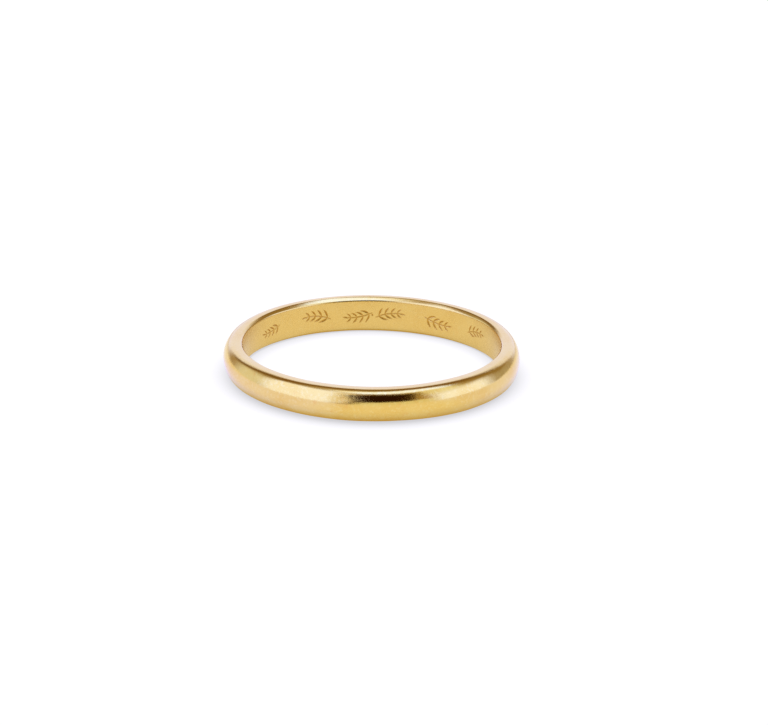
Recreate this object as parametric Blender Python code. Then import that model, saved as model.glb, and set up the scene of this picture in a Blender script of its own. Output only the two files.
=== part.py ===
"""A slim gold wedding band: one seamless ring with a domed outside and a straight bore.

The ring is turned about Z and stands on its lower rim, at z = 0, as it lies on a table.
Half of its section is drawn from four driving sizes, mirrored to the lower half and spun.
"""

import math

import bmesh
import bpy

MM = 0.001

# Driving dimensions.
BORE_DIAMETER = 17.3 * MM
BAND_WIDTH = 2.44 * MM
BAND_THICKNESS = 1.28 * MM
CROWN_RADIUS = 1.66 * MM
SHOULDER_RADIUS = 0.60 * MM
BORE_EDGE_RADIUS = 0.25 * MM

# How finely the round shapes are drawn.
STEPS_AROUND = 96
CROWN_STEPS = 6
SHOULDER_STEPS = 5
BORE_EDGE_STEPS = 3
MERGE_DISTANCE = 0.001 * MM
SHARP_ANGLE = math.radians(50)

GOLD_COLOUR = (0.83, 0.56, 0.17, 1.0)
GOLD_ROUGHNESS = 0.22


def clear_scene():
    """Remove whatever the scene opened with."""
    for obj in list(bpy.data.objects):
        bpy.data.objects.remove(obj, do_unlink=True)


def arc(centre, radius, start, end, steps):
    """Points of an arc in the section plane, as (radius from the axis, height) pairs."""
    points = []
    for step in range(steps + 1):
        angle = start + (end - start) * step / steps
        points.append(
            (centre[0] + radius * math.cos(angle), centre[1] + radius * math.sin(angle))
        )
    return points


def upper_half_section():
    """The section above its middle line, from the crown over the rim and down to the bore."""
    bore = BORE_DIAMETER / 2
    half_width = BAND_WIDTH / 2
    crown_centre = bore + BAND_THICKNESS - CROWN_RADIUS

    # The shoulder arc touches the crown arc from inside and the flat rim from below.
    shoulder_height = half_width - SHOULDER_RADIUS
    reach = CROWN_RADIUS - SHOULDER_RADIUS
    meeting_angle = math.asin(shoulder_height / reach)
    shoulder_centre = (crown_centre + reach * math.cos(meeting_angle), shoulder_height)

    bore_edge_centre = (bore + BORE_EDGE_RADIUS, half_width - BORE_EDGE_RADIUS)
    quarter = math.pi / 2
    crown = arc((crown_centre, 0.0), CROWN_RADIUS, 0.0, meeting_angle, CROWN_STEPS)
    shoulder = arc(shoulder_centre, SHOULDER_RADIUS, meeting_angle, quarter, SHOULDER_STEPS)
    bore_edge = arc(bore_edge_centre, BORE_EDGE_RADIUS, quarter, 2 * quarter, BORE_EDGE_STEPS)
    return crown + shoulder[1:] + bore_edge


def whole_section():
    """The closed section: the upper half, then its mirror image, without the shared point."""
    upper = upper_half_section()
    lower = [(radius, -height) for radius, height in reversed(upper[1:])]
    return upper + lower


def gold():
    material = bpy.data.materials.new("gold")
    material.use_nodes = True
    shader = material.node_tree.nodes["Principled BSDF"]
    shader.inputs["Base Color"].default_value = GOLD_COLOUR
    shader.inputs["Metallic"].default_value = 1.0
    shader.inputs["Roughness"].default_value = GOLD_ROUGHNESS
    return material


def make_band():
    """Spin the section once round Z into the closed ring."""
    shape = bmesh.new()
    section = whole_section()
    corners = [
        shape.verts.new((radius, 0.0, height + BAND_WIDTH / 2)) for radius, height in section
    ]
    edges = [
        shape.edges.new((corner, corners[(index + 1) % len(corners)]))
        for index, corner in enumerate(corners)
    ]
    bmesh.ops.spin(
        shape,
        geom=corners + edges,
        cent=(0.0, 0.0, 0.0),
        axis=(0.0, 0.0, 1.0),
        angle=2 * math.pi,
        steps=STEPS_AROUND,
        use_merge=True,
    )
    bmesh.ops.remove_doubles(shape, verts=shape.verts, dist=MERGE_DISTANCE)
    bmesh.ops.recalc_face_normals(shape, faces=shape.faces)

    mesh = bpy.data.meshes.new("band")
    shape.to_mesh(mesh)
    shape.free()
    mesh.shade_smooth()
    mesh.set_sharp_from_angle(angle=SHARP_ANGLE)
    mesh.materials.append(gold())
    band = bpy.data.objects.new("band", mesh)
    bpy.context.scene.collection.objects.link(band)
    return band


def main():
    clear_scene()
    make_band()


main()
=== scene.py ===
"""Looks of the wedding band: a worn gold ring, engraved inside with laurel sprigs, on white.

The CAD node is a plain turned ring. One finer piece stands for it. Its crown, shoulders and
rims carry the slight waves and dents of wear, the rims' inner edge is worn at the back, one side
is narrower than the other, and the bore is engraved.
Lengths are in metres unless a name says mm. Angles round the ring are measured from +X, and
the inside wall that the camera sees is the one towards +Y.
"""

import math

import bpy
import numpy as np
from mathutils import Matrix, Vector, noise


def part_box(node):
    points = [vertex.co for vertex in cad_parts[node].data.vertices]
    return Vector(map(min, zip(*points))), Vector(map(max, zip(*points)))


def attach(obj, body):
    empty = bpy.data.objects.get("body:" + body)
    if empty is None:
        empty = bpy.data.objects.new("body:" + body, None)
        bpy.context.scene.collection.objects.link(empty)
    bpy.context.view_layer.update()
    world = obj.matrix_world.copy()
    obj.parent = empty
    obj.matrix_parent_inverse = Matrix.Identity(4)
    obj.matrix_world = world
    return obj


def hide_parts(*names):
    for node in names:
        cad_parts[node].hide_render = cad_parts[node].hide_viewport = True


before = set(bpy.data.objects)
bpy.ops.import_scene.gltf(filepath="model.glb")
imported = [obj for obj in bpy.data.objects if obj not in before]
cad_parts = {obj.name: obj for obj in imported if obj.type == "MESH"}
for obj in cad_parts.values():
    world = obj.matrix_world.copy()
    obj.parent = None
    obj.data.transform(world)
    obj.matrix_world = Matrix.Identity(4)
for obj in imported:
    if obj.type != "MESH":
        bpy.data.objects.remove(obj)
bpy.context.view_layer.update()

MM = 0.001
WHITE = (1.0, 1.0, 1.0)


# ---------------------------------------------------------------- sizes, from the frame

BAND_LOW, BAND_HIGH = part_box("band")
OUTER_RADIUS = (BAND_HIGH.x - BAND_LOW.x) / 2
BAND_WIDTH = BAND_HIGH.z - BAND_LOW.z
MID_HEIGHT = (BAND_HIGH.z + BAND_LOW.z) / 2
BORE_RADIUS = min(math.hypot(v.co.x, v.co.y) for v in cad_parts["band"].data.vertices)

CROWN_RADIUS = 1.66 * MM
SHOULDER_RADIUS = 0.56 * MM

# The rim's inner edge as three arcs: radius, and which way the normal points at its end. It is
# worn to a bevel at the back, towards +Y, and is still crisp at the front.
RIM_END = math.radians(92)
WORN_EDGE = (
    (0.03 * MM, math.radians(124)),
    (1.60 * MM, math.radians(133)),
    (0.17 * MM, math.pi),
)
CRISP_EDGE = (
    (0.06 * MM, math.radians(120)),
    (0.06 * MM, math.radians(150)),
    (0.06 * MM, math.pi),
)
# The width varies once round the ring: by this share either side of its mean.
WORN_NARROWER = 0.044
WIDEST_AT = math.radians(60)


# ---------------------------------------------------------------- the section

COLUMNS = 600  # round the whole ring
FINE_PER_COLUMN = 4  # bore columns to one outer column, where the bore is engraved
ENGRAVED_HALF_ANGLE = 63  # degrees either side of +Y
# For each arc of the half section: how many rows it has, how far its start and end are on the
# rounded edges, and how far its start and end belong to the bore.
SECTION_ROWS = (
    (12, (0.0, 0.0), (0.0, 0.0)),  # crown
    (8, (0.1, 0.8), (0.0, 0.0)),  # shoulder
    (2, (0.8, 0.8), (0.0, 0.0)),  # rim
    (2, (0.8, 0.8), (0.0, 0.0)),  # crease
    (3, (0.8, 0.8), (0.0, 0.1)),  # bevel
    (5, (0.7, 0.2), (0.2, 1.0)),  # edge of the bore
)
FINE_ROW = 0.034 * MM
PLAIN_ROWS = 3  # on the bore wall above and below the engraving
ENGRAVED_HALF_HEIGHT = 0.70 * MM


def section_arcs(inner_edge):
    """Radius, start and end angle of each arc above the middle, from the crown to the bore wall.

    Each arc goes on smoothly from the one before. The rim takes the radius that makes the last
    arc end on the bore wall.
    """
    reach = CROWN_RADIUS - SHOULDER_RADIUS
    shoulder_angle = math.asin((BAND_WIDTH / 2 - SHOULDER_RADIUS) / reach)
    rim_start = OUTER_RADIUS - CROWN_RADIUS + reach * math.cos(shoulder_angle)
    starts = (RIM_END, *(end for _, end in inner_edge))
    inner_arcs = [(radius, start, end) for start, (radius, end) in zip(starts, inner_edge)]
    inner_reach = sum(
        radius * (math.cos(start) - math.cos(end)) for radius, start, end in inner_arcs
    )
    rim_radius = (rim_start - BORE_RADIUS - inner_reach) / -math.cos(RIM_END)
    up = math.pi / 2
    return (
        (CROWN_RADIUS, 0.0, shoulder_angle),
        (SHOULDER_RADIUS, shoulder_angle, up),
        (rim_radius, up, RIM_END),
        *inner_arcs,
    )


def outer_half_section(inner_edge):
    """The upper half outside the bore wall, from above the crown's top point to the bore wall.

    Returns points (radius, height above the middle), normals, and two masks: how far a point is
    on the rounded edges, and how far it belongs to the bore.
    """
    arcs = section_arcs(inner_edge)
    here = np.array([OUTER_RADIUS, 0.0])
    points, normals, edge, inside = [], [], [], []
    for (radius, start, end), (count, edge_span, inside_span) in zip(arcs, SECTION_ROWS):
        angles = start + (end - start) * np.arange(1, count + 1) / count
        directions = np.stack([np.cos(angles), np.sin(angles)], axis=1)
        centre = here - radius * np.array([math.cos(start), math.sin(start)])
        points.append(centre + radius * directions)
        normals.append(directions)
        edge.append(np.linspace(*edge_span, count))
        inside.append(np.linspace(*inside_span, count))
        here = points[-1][-1]
    return tuple(np.concatenate(part) for part in (points, normals, edge, inside))


def outer_section(inner_edge):
    """The whole section outside the bore wall, from the wall's lower end round to its upper end."""
    points, normals, edge, inside = outer_half_section(inner_edge)
    mirror = np.array([1.0, -1.0])
    top_point = np.array([[OUTER_RADIUS, 0.0]])
    return (
        np.concatenate([points[::-1] * mirror, top_point, points]),
        np.concatenate([normals[::-1] * mirror, [[1.0, 0.0]], normals]),
        np.concatenate([edge[::-1], [0.0], edge]),
        np.concatenate([inside[::-1], [0.0], inside]),
    )


def wall_section(inner_edge):
    """Points of the bore wall with both its ends, closest where it is engraved."""
    wall_end = outer_half_section(inner_edge)[0][-1, 1]
    plain = np.linspace(ENGRAVED_HALF_HEIGHT, wall_end, 1 + PLAIN_ROWS)
    fine = np.linspace(
        -ENGRAVED_HALF_HEIGHT,
        ENGRAVED_HALF_HEIGHT,
        1 + round(2 * ENGRAVED_HALF_HEIGHT / FINE_ROW),
    )
    heights = np.concatenate([-plain[:0:-1], fine, plain[1:]])
    return np.stack([np.full(len(heights), BORE_RADIUS), heights], axis=1)


# ---------------------------------------------------------------- the engraving

# Laurel sprigs round the bore: degrees from +Y to the right as the camera sees it, size, and
# which way the tip points.
SPRIGS = (
    (-52, 0.92, -1),
    (-26, 1.06, -1),
    (-6.5, 1.0, -1),
    (8.0, 1.0, 1),
    (31, 1.06, 1),
    (54, 0.92, 1),
)
STEM_LENGTH = 1.95 * MM
STEM_HEADING = 26  # degrees, and the sprig leans the other way on every other one
STEM_BEND = -34
STEM_HALF_WIDTH = 0.058 * MM
LEAF_PAIRS = 4
LEAF_SPREAD = 64
LEAF_BEND = -44
LEAF_LENGTH = 0.74 * MM
LEAF_HALF_WIDTH = 0.088 * MM
TIP_LEAF_FROM = 0.86  # where on the stem the leaf at its tip begins
BERRY_RADIUS = 0.085 * MM
GRAVER_SLOPE = 0.45  # depth of a cut over its half width
GRAVER_STEP = 0.012 * MM
FEWEST_STEPS = 12
WIDEST_EARLY = 0.8  # below 1, a cut is widest before its middle
LEAF_ENDS = 0.25  # width at a cut's ends, as a share of its full width
STEM_ENDS = 0.8
FIRST_LEAVES_AT = 0.5  # in leaf spacings from the foot of the stem
STEM_PAST_LEAVES = 0.6  # in leaf spacings
LEAVES_SHORTEN = 0.45  # over the length of the stem
LEAVES_THIN = 0.25
TIP_LEAF_LENGTH = 0.6  # as shares of a full leaf's
TIP_LEAF_WIDTH = 0.8


def graver_stroke(start, heading, length, bend, half_width, ends=LEAF_ENDS):
    """One curved cut, as rows of distance along the bore, height up it, and half width there.

    The half width at the cut's two ends is the share `ends` of the full half width.
    """
    steps = max(FEWEST_STEPS, round(length / GRAVER_STEP))
    along = np.linspace(0, 1, steps + 1)
    direction = np.radians(heading + bend * along)
    step = length / steps
    across = np.concatenate([[0], np.cumsum(np.cos(direction[1:]) + np.cos(direction[:-1])) / 2])
    up = np.concatenate([[0], np.cumsum(np.sin(direction[1:]) + np.sin(direction[:-1])) / 2])
    width = half_width * (ends + (1 - ends) * np.sin(math.pi * along**WIDEST_EARLY))
    return np.stack([start[0] + across * step, start[1] + up * step, width], axis=1)


def laurel_sprig():
    """A curved stem with a leaf at its tip and pairs of leaves that shorten towards it."""
    middle = math.radians(STEM_HEADING + STEM_BEND / 2)
    foot = -STEM_LENGTH / 2 * np.array([math.cos(middle), math.sin(middle)])
    stem = graver_stroke(
        foot, STEM_HEADING, STEM_LENGTH, STEM_BEND, STEM_HALF_WIDTH, ends=STEM_ENDS
    )
    strokes = [stem]
    for pair in range(LEAF_PAIRS):
        share = (pair + FIRST_LEAVES_AT) / (LEAF_PAIRS + STEM_PAST_LEAVES)
        joint = stem[round(share * (len(stem) - 1)), :2]
        heading = STEM_HEADING + STEM_BEND * share
        length = LEAF_LENGTH * (1.0 - LEAVES_SHORTEN * share)
        width = LEAF_HALF_WIDTH * (1.0 - LEAVES_THIN * share)
        for side in (1, -1):
            strokes.append(
                graver_stroke(joint, heading + side * LEAF_SPREAD, length, side * LEAF_BEND, width)
            )
    tip = stem[round(TIP_LEAF_FROM * (len(stem) - 1)), :2]
    heading = STEM_HEADING + STEM_BEND
    length = LEAF_LENGTH * TIP_LEAF_LENGTH
    strokes.append(graver_stroke(tip, heading, length, 0, LEAF_HALF_WIDTH * TIP_LEAF_WIDTH))
    return strokes


def engraving_strokes():
    """The sprigs in their places round the bore, with a berry in the middle."""
    strokes = [np.array([[0.0, 0.0, BERRY_RADIUS]])]
    for index, (angle, size, tip) in enumerate(SPRIGS):
        lean = 1 if index % 2 else -1
        turn = size * np.array([tip, lean, 1.0])
        place = np.array([BORE_RADIUS * math.radians(angle), 0.0, 0.0])
        strokes += [stroke * turn + place for stroke in laurel_sprig()]
    return strokes


def cut_depths(across, up):
    """Depth of the engraving at each crossing of the bore's columns and rows."""
    depths = np.zeros((len(across), len(up)))
    for stroke in engraving_strokes():
        for centre_across, centre_up, width in stroke:
            first, last = np.searchsorted(across, [centre_across - width, centre_across + width])
            low, high = np.searchsorted(up, [centre_up - width, centre_up + width])
            if first == last or low == high:
                continue
            distance = np.hypot(
                across[first:last, None] - centre_across, up[None, low:high] - centre_up
            )
            cut = GRAVER_SLOPE * (width - distance)
            window = depths[first:last, low:high]
            np.maximum(window, cut, out=window)
    return depths


# ---------------------------------------------------------------- wear in the shape

# Waves left by hand work and years on a finger: wavelength and height of each.
WAVES = ((4.5 * MM, 0.016 * MM), (1.6 * MM, 0.007 * MM), (0.55 * MM, 0.0016 * MM))
DENTS = 46
DENT_RADIUS = (0.10 * MM, 0.34 * MM)
DENT_DEPTH = (0.002 * MM, 0.006 * MM)
DENT_SPREAD = 0.42  # either side of the middle, as a share of the width
DENT_CENTRE_BELOW = 0.1 * MM  # the crown's top
DENT_FALL = 3
DENT_SEED = 7


def wave_height(points):
    """Height of the waves at each point of the surface."""
    heights = np.zeros(len(points))
    for length, height in WAVES:
        heights += height * np.array([noise.noise(Vector(p / length)) for p in points])
    return heights


def dent_depth(points):
    """Depth of the small round dents, scattered over the outside."""
    random = np.random.default_rng(DENT_SEED)
    depths = np.zeros(len(points))
    for _ in range(DENTS):
        angle = random.uniform(0, 2 * math.pi)
        height = random.uniform(-DENT_SPREAD, DENT_SPREAD) * BAND_WIDTH
        radius = random.uniform(*DENT_RADIUS)
        depth = random.uniform(*DENT_DEPTH)
        out = OUTER_RADIUS - DENT_CENTRE_BELOW
        centre = np.array([out * math.cos(angle), out * math.sin(angle), MID_HEIGHT + height])
        share = np.sum((points - centre) ** 2, axis=1) / radius**2
        depths += depth * np.exp(-DENT_FALL * share)
    return depths


# ---------------------------------------------------------------- the band's mesh


def width_share(angles):
    """How much of the full width the band has left at each angle, worn least at one side."""
    return 1 - WORN_NARROWER * (1 - np.cos(angles - WIDEST_AT))


def ring_points(angles, crisp, worn, normals):
    """Points and normals of the section at each angle: the angle changes slowest."""
    cosines, sines = np.cos(angles)[:, None], np.sin(angles)[:, None]
    wear = (1 + sines[:, :, None]) / 2
    section = crisp + (worn - crisp) * wear
    radii = section[:, :, 0]
    heights = MID_HEIGHT + section[:, :, 1] * width_share(angles)[:, None]
    points = np.stack([cosines * radii, sines * radii, heights], axis=2)
    upward = np.broadcast_to(normals[:, 1], radii.shape)
    directions = np.stack([cosines * normals[:, 0], sines * normals[:, 0], upward], axis=2)
    return points, directions


def band_mesh():
    """The ring as one closed mesh, with wear and engraving in its points."""
    worn, normals, edge, inside = outer_section(WORN_EDGE)
    crisp = outer_section(CRISP_EDGE)[0]
    rows = len(worn)
    columns = np.arange(COLUMNS)
    column_angle = 2 * math.pi / COLUMNS
    # The seam of the numbering is towards -Y, so that the engraved stretch is in one run.
    outer_angles = -math.pi / 2 + columns * column_angle
    outer_points, outer_normals = ring_points(outer_angles, crisp, worn, normals)

    half_span = round(ENGRAVED_HALF_ANGLE / 360 * COLUMNS)
    first_fine = COLUMNS // 2 - half_span
    last_fine = COLUMNS // 2 + half_span
    bore_columns = []  # position among the outer columns, in fractions of one
    for column in range(COLUMNS):
        parts = FINE_PER_COLUMN if first_fine <= column < last_fine else 1
        bore_columns += [column + part / parts for part in range(parts)]
    bore_columns = np.array(bore_columns)
    bore_angles = -math.pi / 2 + bore_columns * column_angle
    wall = wall_section(WORN_EDGE)
    wall_normals = np.tile([-1.0, 0.0], (len(wall), 1))
    bore_points, bore_normals = ring_points(
        bore_angles, wall_section(CRISP_EDGE), wall, wall_normals
    )

    # Distance along the bore from its middle at +Y, to the right as the camera sees it.
    across = BORE_RADIUS * (math.pi / 2 - bore_angles)
    order = np.argsort(across)
    depths = np.zeros((len(bore_columns), len(wall)))
    depths[order] = cut_depths(across[order], wall[:, 1])

    points = np.concatenate([outer_points.reshape(-1, 3), bore_points.reshape(-1, 3)])
    directions = np.concatenate([outer_normals.reshape(-1, 3), bore_normals.reshape(-1, 3)])
    engraving = np.concatenate([np.zeros(COLUMNS * rows), depths.ravel()])
    masks = {
        "edge": np.concatenate([np.tile(edge, COLUMNS), np.zeros(depths.size)]),
        "inside": np.concatenate([np.tile(inside, COLUMNS), np.ones(depths.size)]),
        "engraving": engraving / (GRAVER_SLOPE * LEAF_HALF_WIDTH),
    }
    wear = wave_height(points) - dent_depth(points) * (1 - masks["inside"])
    moved = points + directions * (wear - engraving)[:, None]

    # The bore's end rows are the outer section's end rows, with more points between.
    start = COLUMNS * rows
    wall_rows = len(wall)

    def outer(column, row):
        return (column % COLUMNS) * rows + row

    shared = {}
    for index, position in enumerate(bore_columns):
        if position == int(position):
            shared[start + index * wall_rows] = outer(int(position), 0)
            shared[start + index * wall_rows + wall_rows - 1] = outer(int(position), rows - 1)

    def bore(index, row):
        vertex = start + (index % len(bore_columns)) * wall_rows + row
        return shared.get(vertex, vertex)

    position_of = {int(p): i for i, p in enumerate(bore_columns) if p == int(p)}
    faces = []
    for column in range(COLUMNS):
        here = position_of[column]
        after = position_of.get(column + 1, len(bore_columns))
        for row in range(rows - 1):
            face = [
                outer(column, row),
                outer(column + 1, row),
                outer(column + 1, row + 1),
                outer(column, row + 1),
            ]
            between = range(here + 1, after)
            if row == 0:
                face[1:1] = [bore(index, 0) for index in between]
            if row == rows - 2:
                face[3:3] = [bore(index, wall_rows - 1) for index in reversed(between)]
            faces.append(face)
    for index in range(len(bore_columns)):
        for row in range(wall_rows - 1):
            faces.append(
                [
                    bore(index, row),
                    bore(index, row + 1),
                    bore(index + 1, row + 1),
                    bore(index + 1, row),
                ]
            )

    kept = np.ones(len(points), bool)
    kept[list(shared)] = False
    renumber = np.cumsum(kept) - 1
    mesh = bpy.data.meshes.new("gold_band")
    mesh.from_pydata(
        moved[kept].tolist(), [], [[int(renumber[v]) for v in face] for face in faces]
    )
    for name, values in masks.items():
        attribute = mesh.attributes.new(name, "FLOAT", "POINT")
        attribute.data.foreach_set("value", values[kept].astype(np.float32))
    mesh.validate()
    mesh.shade_smooth()
    return mesh


# ---------------------------------------------------------------- node building


class Nodes:
    """Short ways to add and join the nodes of one tree."""

    def __init__(self, tree):
        self.tree = tree
        tree.nodes.clear()

    def add(self, kind, inputs=None, **settings):
        """A node with its settings made and its inputs set or joined."""
        node = self.tree.nodes.new("ShaderNode" + kind)
        for name, value in settings.items():
            setattr(node, name, value)
        for name, value in (inputs or {}).items():
            self.feed(node.inputs[name], value)
        return node

    def feed(self, socket, value):
        if isinstance(value, bpy.types.NodeSocket):
            self.tree.links.new(value, socket)
        elif isinstance(value, bpy.types.Node):
            self.tree.links.new(value.outputs[0], socket)
        else:
            socket.default_value = value

    def maths(self, operation, first, second=0.0):
        return self.add("Math", {0: first, 1: second}, operation=operation).outputs[0]

    def smooth(self, value, low, high, to_low=0.0, to_high=1.0):
        """value from low to high, eased to run from to_low to to_high."""
        inputs = {"Value": value, 1: low, 2: high, 3: to_low, 4: to_high}
        return self.add("MapRange", inputs, interpolation_type="SMOOTHSTEP").outputs[0]

    def noise(self, vector, scale, detail=2.0, roughness=0.5):
        inputs = {"Vector": vector, "Scale": scale, "Detail": detail, "Roughness": roughness}
        return self.add("TexNoise", inputs).outputs["Fac"]

    def blend(self, factor, first, second):
        """A colour between first and second."""
        node = self.add("Mix", data_type="RGBA", blend_type="MIX")
        self.feed(node.inputs["Factor"], factor)
        self.feed(node.inputs[6], first)
        self.feed(node.inputs[7], second)
        return node.outputs[2]


def rgba(colour):
    return (*colour, 1.0)


# ---------------------------------------------------------------- gold

GOLD = (0.790, 0.560, 0.165)
GOLD_WARM = (0.765, 0.500, 0.120)
GOLD_PALE = (0.815, 0.610, 0.220)
GOLD_COPPERY = (0.750, 0.430, 0.110)
GOLD_BORE = (0.710, 0.475, 0.140)
GOLD_CUT_DARK = (0.500, 0.250, 0.030)
OUTSIDE_ROUGHNESS = 0.065
BORE_ROUGHNESS = 0.25
ROUGHNESS_SMUDGES = (-0.02, 0.05)
CUT_ROUGHNESS = 0.15
MICROMETRE = 1e-6

# How close each pattern on the gold is, as a noise scale.
PATCH_SCALE = 420.0
SPECKLE_SCALE = 5200.0
FLECK_SCALE = 1500.0
SMUDGE_SCALE = 900.0
GRAIN_SCALE = 7000.0
RIPPLE_SCALE = 2400.0
WAVER_SCALE = 160.0
TURNING_SCALE = 22000.0

# Where in its noise, or in the mask, each pattern begins and is full.
PATCH_RANGE = (0.35, 0.7)
SPECKLE_RANGE = (0.5, 0.7)
FLECK_RANGE = (0.58, 0.72)
SMUDGE_RANGE = (0.3, 0.7)
CUT_DARK_RANGE = (0.05, 0.55)

# How much of its colour each one brings.
SPECKLE_SHARE = 0.6
FLECK_SHARE = 0.6
EDGE_SHARE = 0.35
BORE_SHARE = 0.6
CUT_DARK_SHARE = 0.95

# Heights of the finest relief, in micrometres.
GRAIN_HEIGHT = 0.9
RIPPLE_HEIGHT = 2.6
SCRATCH_DEPTH = 0.35
TURNING_HEIGHT = (0.25, 0.9)  # outside, and in the bore
TURNING_WAVER = 0.0006  # how far a turning line strays, in metres

# Scratches lie in a few directions: turn of each set, and how close its scratches are.
SCRATCH_SETS = (
    ((0.3, 0.9, 0.2), 300.0),
    ((1.2, 0.1, 1.9), 380.0),
    ((2.3, 1.4, 0.7), 340.0),
    ((0.8, 2.2, 2.9), 420.0),
)
SCRATCH_STRETCH = (1.0, 0.03, 0.03)
SCRATCH_HALF_WIDTH = 0.02  # of the pattern's range


def scratches(nodes, position, turn, scale):
    """Fine straight scratches in one direction: 1 on a scratch, 0 off it."""
    turned = nodes.add(
        "Mapping",
        {"Vector": position, "Rotation": turn, "Scale": SCRATCH_STRETCH},
        vector_type="TEXTURE",
    )
    pattern = nodes.noise(turned.outputs[0], scale, detail=3.0, roughness=0.6)
    middle = nodes.maths("ABSOLUTE", nodes.maths("SUBTRACT", pattern, 0.5))
    return nodes.smooth(middle, SCRATCH_HALF_WIDTH, 0.0)


def surface_height(nodes, position, inside):
    """Height of the finest relief, in micrometres: grain, scratches, and turning in the bore."""
    grain = nodes.noise(position, GRAIN_SCALE, detail=1.0)
    grain = nodes.maths("MULTIPLY", grain, GRAIN_HEIGHT)
    ripple = nodes.noise(position, RIPPLE_SCALE, detail=1.0)
    ripple = nodes.maths("MULTIPLY", ripple, RIPPLE_HEIGHT)
    height = nodes.maths("ADD", grain, ripple)
    for turn, scale in SCRATCH_SETS:
        marks = scratches(nodes, position, turn, scale)
        height = nodes.maths("SUBTRACT", height, nodes.maths("MULTIPLY", marks, SCRATCH_DEPTH))
    parts = nodes.add("SeparateXYZ", {0: position})
    waver = nodes.maths("MULTIPLY", nodes.noise(position, WAVER_SCALE), TURNING_WAVER)
    turning = nodes.add(
        "CombineXYZ", {2: nodes.maths("ADD", parts.outputs["Z"], waver)}
    ).outputs[0]
    lines = nodes.noise(turning, TURNING_SCALE, detail=3.0, roughness=0.7)
    lines = nodes.maths("MULTIPLY", lines, nodes.smooth(inside, 0.0, 1.0, *TURNING_HEIGHT))
    return nodes.maths("ADD", height, lines)


def gold_material():
    material = bpy.data.materials.new("gold")
    material.use_nodes = True
    nodes = Nodes(material.node_tree)
    position = nodes.add("TexCoord").outputs["Object"]
    inside = nodes.add("Attribute", attribute_name="inside").outputs["Fac"]
    edge = nodes.add("Attribute", attribute_name="edge").outputs["Fac"]
    engraving = nodes.add("Attribute", attribute_name="engraving").outputs["Fac"]

    # Colour: warmer and paler patches, coppery flecks, paler worn edges, darker in the engraving.
    patches = nodes.noise(position, PATCH_SCALE, detail=3.0)
    colour = nodes.blend(nodes.smooth(patches, *PATCH_RANGE), rgba(GOLD), rgba(GOLD_WARM))
    speckle = nodes.noise(position, SPECKLE_SCALE)
    speckle = nodes.smooth(speckle, *SPECKLE_RANGE, 0.0, SPECKLE_SHARE)
    colour = nodes.blend(speckle, colour, rgba(GOLD_PALE))
    flecks = nodes.noise(position, FLECK_SCALE, detail=4.0, roughness=0.7)
    flecks = nodes.maths("MULTIPLY", nodes.smooth(flecks, *FLECK_RANGE), FLECK_SHARE)
    colour = nodes.blend(flecks, colour, rgba(GOLD_COPPERY))
    colour = nodes.blend(nodes.maths("MULTIPLY", edge, EDGE_SHARE), colour, rgba(GOLD_PALE))
    in_bore = nodes.smooth(inside, 0.0, 1.0, 0.0, BORE_SHARE)
    colour = nodes.blend(in_bore, colour, rgba(GOLD_BORE))
    # The engraving's cuts are coloured darker, the deeper the darker.
    cut_dark = nodes.smooth(engraving, *CUT_DARK_RANGE, 0.0, CUT_DARK_SHARE)
    colour = nodes.blend(cut_dark, colour, rgba(GOLD_CUT_DARK))

    # Roughness: polished outside, satin in the bore, uneven everywhere, duller in the cuts.
    smudges = nodes.noise(position, SMUDGE_SCALE, detail=4.0, roughness=0.65)
    smudges = nodes.smooth(smudges, *SMUDGE_RANGE, *ROUGHNESS_SMUDGES)
    roughness = nodes.smooth(inside, 0.0, 1.0, OUTSIDE_ROUGHNESS, BORE_ROUGHNESS)
    roughness = nodes.maths("ADD", roughness, smudges)
    roughness = nodes.maths("ADD", roughness, nodes.maths("MULTIPLY", cut_dark, CUT_ROUGHNESS))

    height = surface_height(nodes, position, inside)
    normal = nodes.add("Bump", {"Height": height, "Strength": 1.0, "Distance": MICROMETRE})
    shader = nodes.add(
        "BsdfPrincipled",
        {
            "Base Color": colour,
            "Metallic": 1.0,
            "Roughness": roughness,
            "Normal": normal.outputs[0],
        },
    )
    nodes.add("OutputMaterial", {"Surface": shader})
    return material


# ---------------------------------------------------------------- the table

FLOOR_HALF_SIZE = 4.0
FLOOR_COLOUR = (1.055, 1.045, 1.09)
SHADOW_REACH = 1.9 * MM
SHADOW_DEPTH = 0.40  # how much darker the table is where the band hides it altogether
OCCLUSION_SAMPLES = 16
TABLE_BELOW = 0.002 * MM  # the lower rim, so that the two never coincide
# What only the gold sees of the table round it, all painted light: a painted sheen of the
# softboxes at the sides and painted shade on the part behind, as azimuth, half width and colour,
# and painted gold light where the band is close.
SHEENS = (
    (-62, 42, (1.06, 1.08, 1.72)),
    (82, 38, (1.04, 1.06, 1.52)),
    (-180, 38, (0.84, 0.78, 0.80)),
    (180, 38, (0.84, 0.78, 0.80)),
)
SHEEN_SOFTNESS = 14
SHEENS_FROM = OUTER_RADIUS - 0.5 * MM  # they are only outside the ring
SHEENS_FULL = OUTER_RADIUS + 0.3 * MM
CONTACT_GOLD_LIGHT = (0.95, 0.70, 0.20)
CONTACT_FULL = 0.15  # how open the table is where the gold light is full, and where it ends
CONTACT_NONE = 0.6


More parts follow.
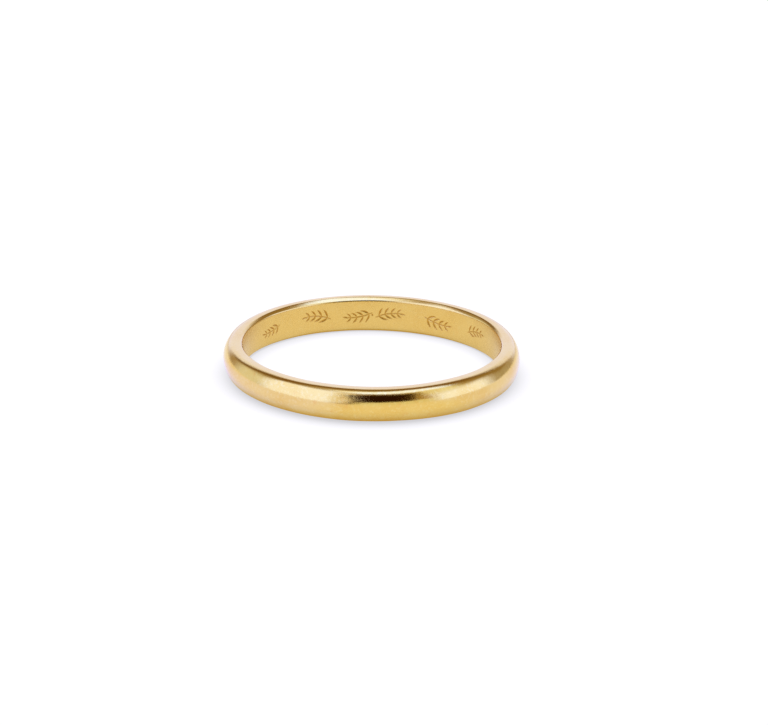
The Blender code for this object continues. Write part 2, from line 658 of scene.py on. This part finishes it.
def floor_material():
    """A white table that glows evenly, darker where the band is close.

    No light falls on it: the shadow is worked out from how much of the sky the band hides.
    """
    material = bpy.data.materials.new("white_acrylic")
    material.use_nodes = True
    nodes = Nodes(material.node_tree)
    place = nodes.add("SeparateXYZ", {0: nodes.add("TexCoord").outputs["Object"]})
    ahead = nodes.maths("MULTIPLY", place.outputs["Y"], -1.0)
    azimuth = nodes.maths("ARCTAN2", place.outputs["X"], ahead)
    flat = nodes.add("CombineXYZ", {0: place.outputs["X"], 1: place.outputs["Y"]})
    radius = nodes.add("VectorMath", {0: flat}, operation="LENGTH").outputs["Value"]
    outside = nodes.smooth(radius, SHEENS_FROM, SHEENS_FULL)
    painted_floor_light = rgba(FLOOR_COLOUR)
    soft = math.radians(SHEEN_SOFTNESS)
    # Painted sheen at the sides and painted shade behind, outside the ring.
    for middle, half_width, tint in SHEENS:
        away = nodes.maths("ABSOLUTE", nodes.maths("SUBTRACT", azimuth, math.radians(middle)))
        edge = math.radians(half_width)
        mask = nodes.maths("MULTIPLY", nodes.smooth(away, edge + soft, edge - soft), outside)
        painted_floor_light = nodes.blend(mask, painted_floor_light, rgba(tint))
    occlusion = nodes.add(
        "AmbientOcclusion", {"Distance": SHADOW_REACH}, samples=OCCLUSION_SAMPLES
    )
    open_sky = occlusion.outputs["AO"]
    clear = nodes.smooth(open_sky, CONTACT_FULL, CONTACT_NONE)
    # Painted gold light on the table where the band is close.
    painted_floor_light = nodes.blend(clear, rgba(CONTACT_GOLD_LIGHT), painted_floor_light)
    rays = nodes.add("LightPath")
    colour = nodes.blend(rays.outputs["Is Camera Ray"], painted_floor_light, rgba(FLOOR_COLOUR))
    light = nodes.smooth(open_sky, 0.0, 1.0, 1 - SHADOW_DEPTH, 1.0)
    shader = nodes.add("Emission", {"Color": colour, "Strength": light})
    nodes.add("OutputMaterial", {"Surface": shader})
    return material


def make_floor():
    size = FLOOR_HALF_SIZE
    mesh = bpy.data.meshes.new("table")
    corners = [(-size, -size, 0), (size, -size, 0), (size, size, 0), (-size, size, 0)]
    mesh.from_pydata(corners, [], [(0, 1, 2, 3)])
    mesh.materials.append(floor_material())
    floor = bpy.data.objects.new("table", mesh)
    floor.location.z = BAND_LOW.z - TABLE_BELOW
    bpy.context.scene.collection.objects.link(floor)
    return floor


# ---------------------------------------------------------------- the studio

# What the gold reflects, in degrees: 0 azimuth is the camera's side (-Y), 90 is +X.
# Each panel is painted over those before it, as a rectangle with soft edges.
ROOM = (0.46, 0.37, 0.28)
PANELS = (
    # name, azimuth, elevation, half width, half height, softness, radiance
    ("back wall", 178, 13, 33, 26, 10, (1.04, 1.12, 1.85)),
    ("back gap", 178, 55, 36, 13, 6, (0.25, 0.15, 0.06)),
    ("left gap", -141, 36, 7, 18, 7, (0.24, 0.15, 0.06)),
    ("left fill", -110, 10, 18, 22, 10, (0.92, 1.00, 1.35)),
    ("right gap", 126, 34, 9, 22, 8, (0.34, 0.24, 0.11)),
    ("right fill", 128, 4, 14, 12, 6, (0.52, 0.48, 0.47)),
    ("ceiling", -8, 80, 16, 12, 6, (1.20, 1.35, 2.20)),
    ("left softbox", -60, 27, 33, 36, 8, (1.26, 1.51, 3.20)),
    ("right top softbox", 64, 46, 16, 16, 7, (1.05, 1.15, 1.45)),
    ("right softbox", 77, 13, 28, 20, 9, (1.25, 1.48, 3.00)),
    ("overhead softbox", 50, 74, 24, 14, 5, (1.28, 1.70, 4.20)),
    ("left flag", -23, 31, 8, 27, 3, (1.02, 1.08, 1.60)),
    ("studio corner", 42, 33, 5, 22, 2.5, (0.55, 0.42, 0.20)),
    ("table apron", 17, 3, 32, 12, 2.5, (0.95, 0.98, 0.97)),
    ("camera stand", 5, 51, 13, 8, 3, (0.30, 0.20, 0.12)),
    ("camera", 10.5, 34, 22, 18.5, 2, (0.030, 0.010, 0.002)),
    ("tripod head", -14, 10, 3, 6, 2, (0.15, 0.10, 0.06)),
)


def panel_mask(nodes, direction, azimuth, elevation, half_width, half_height, softness):
    """1 where direction points at a panel, 0 away from it, eased at its edges."""
    level = nodes.add(
        "VectorRotate",
        {"Vector": direction, "Axis": (0, 0, 1), "Angle": math.radians(-azimuth)},
        rotation_type="AXIS_ANGLE",
    )
    facing = nodes.add(
        "VectorRotate",
        {"Vector": level.outputs[0], "Axis": (1, 0, 0), "Angle": math.radians(elevation)},
        rotation_type="AXIS_ANGLE",
    )
    parts = nodes.add("SeparateXYZ", {0: facing.outputs[0]})
    ahead = nodes.maths("MULTIPLY", parts.outputs["Y"], -1.0)
    sideways = nodes.maths("ABSOLUTE", nodes.maths("ARCTAN2", parts.outputs["X"], ahead))
    upward = nodes.maths("ABSOLUTE", nodes.maths("ARCSINE", parts.outputs["Z"]))
    soft = math.radians(softness)
    across = math.radians(half_width)
    high = math.radians(half_height)
    return nodes.maths(
        "MULTIPLY",
        nodes.smooth(sideways, across + soft, across - soft),
        nodes.smooth(upward, high + soft, high - soft),
    )


def make_studio():
    """The gold reflects the studio's panels; the camera sees plain white past the table."""
    world = bpy.data.worlds.new("studio")
    world.use_nodes = True
    bpy.context.scene.world = world
    nodes = Nodes(world.node_tree)
    direction = nodes.add("TexCoord").outputs["Generated"]
    reflected = rgba(ROOM)
    for _, azimuth, elevation, half_width, half_height, softness, radiance in PANELS:
        mask = panel_mask(
            nodes, direction, azimuth, elevation, half_width, half_height, softness
        )
        reflected = nodes.blend(mask, reflected, rgba(radiance))
    rays = nodes.add("LightPath")
    seen = nodes.blend(rays.outputs["Is Camera Ray"], reflected, rgba(WHITE))
    background = nodes.add("Background", {"Color": seen, "Strength": 1.0})
    nodes.add("OutputWorld", {"Surface": background})


# ---------------------------------------------------------------- the camera

CAMERA_ELEVATION = math.radians(19.8)
CAMERA_ROLL = math.radians(-0.82)
CAMERA_DISTANCE = 0.5
SENSOR_WIDTH = 36.0  # mm
NEAREST_SEEN = 0.01
FARTHEST_SEEN = 20.0
VIEW_WIDTH = 51.40 * MM  # how much of the table the picture spans at the ring
RING_OFFSET = Vector((-0.831 * MM, 0.318 * MM))  # from the picture's middle, right and up


def make_camera():
    data = bpy.data.cameras.new("camera")
    data.sensor_width = SENSOR_WIDTH
    data.lens = data.sensor_width * CAMERA_DISTANCE / VIEW_WIDTH
    data.clip_start = NEAREST_SEEN
    data.clip_end = FARTHEST_SEEN
    camera = bpy.data.objects.new("camera", data)
    bpy.context.scene.collection.objects.link(camera)

    level_right = Vector((1, 0, 0))
    level_up = Vector((0, math.sin(CAMERA_ELEVATION), math.cos(CAMERA_ELEVATION)))
    right = math.cos(CAMERA_ROLL) * level_right - math.sin(CAMERA_ROLL) * level_up
    up = math.sin(CAMERA_ROLL) * level_right + math.cos(CAMERA_ROLL) * level_up
    back = right.cross(up)
    ring_centre = Vector((0, 0, MID_HEIGHT))
    place = ring_centre + back * CAMERA_DISTANCE - right * RING_OFFSET.x - up * RING_OFFSET.y
    turn = Matrix((right, up, back)).transposed().to_4x4()
    camera.matrix_world = Matrix.Translation(place) @ turn
    bpy.context.scene.camera = camera


# ---------------------------------------------------------------- the whole scene


def make_band():
    band = bpy.data.objects.new("gold_band", band_mesh())
    band.data.materials.append(gold_material())
    bpy.context.scene.collection.objects.link(band)
    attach(band, "root")
    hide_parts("band")


make_band()
make_floor()
make_studio()
make_camera()
bpy.context.scene.view_settings.view_transform = "Standard"
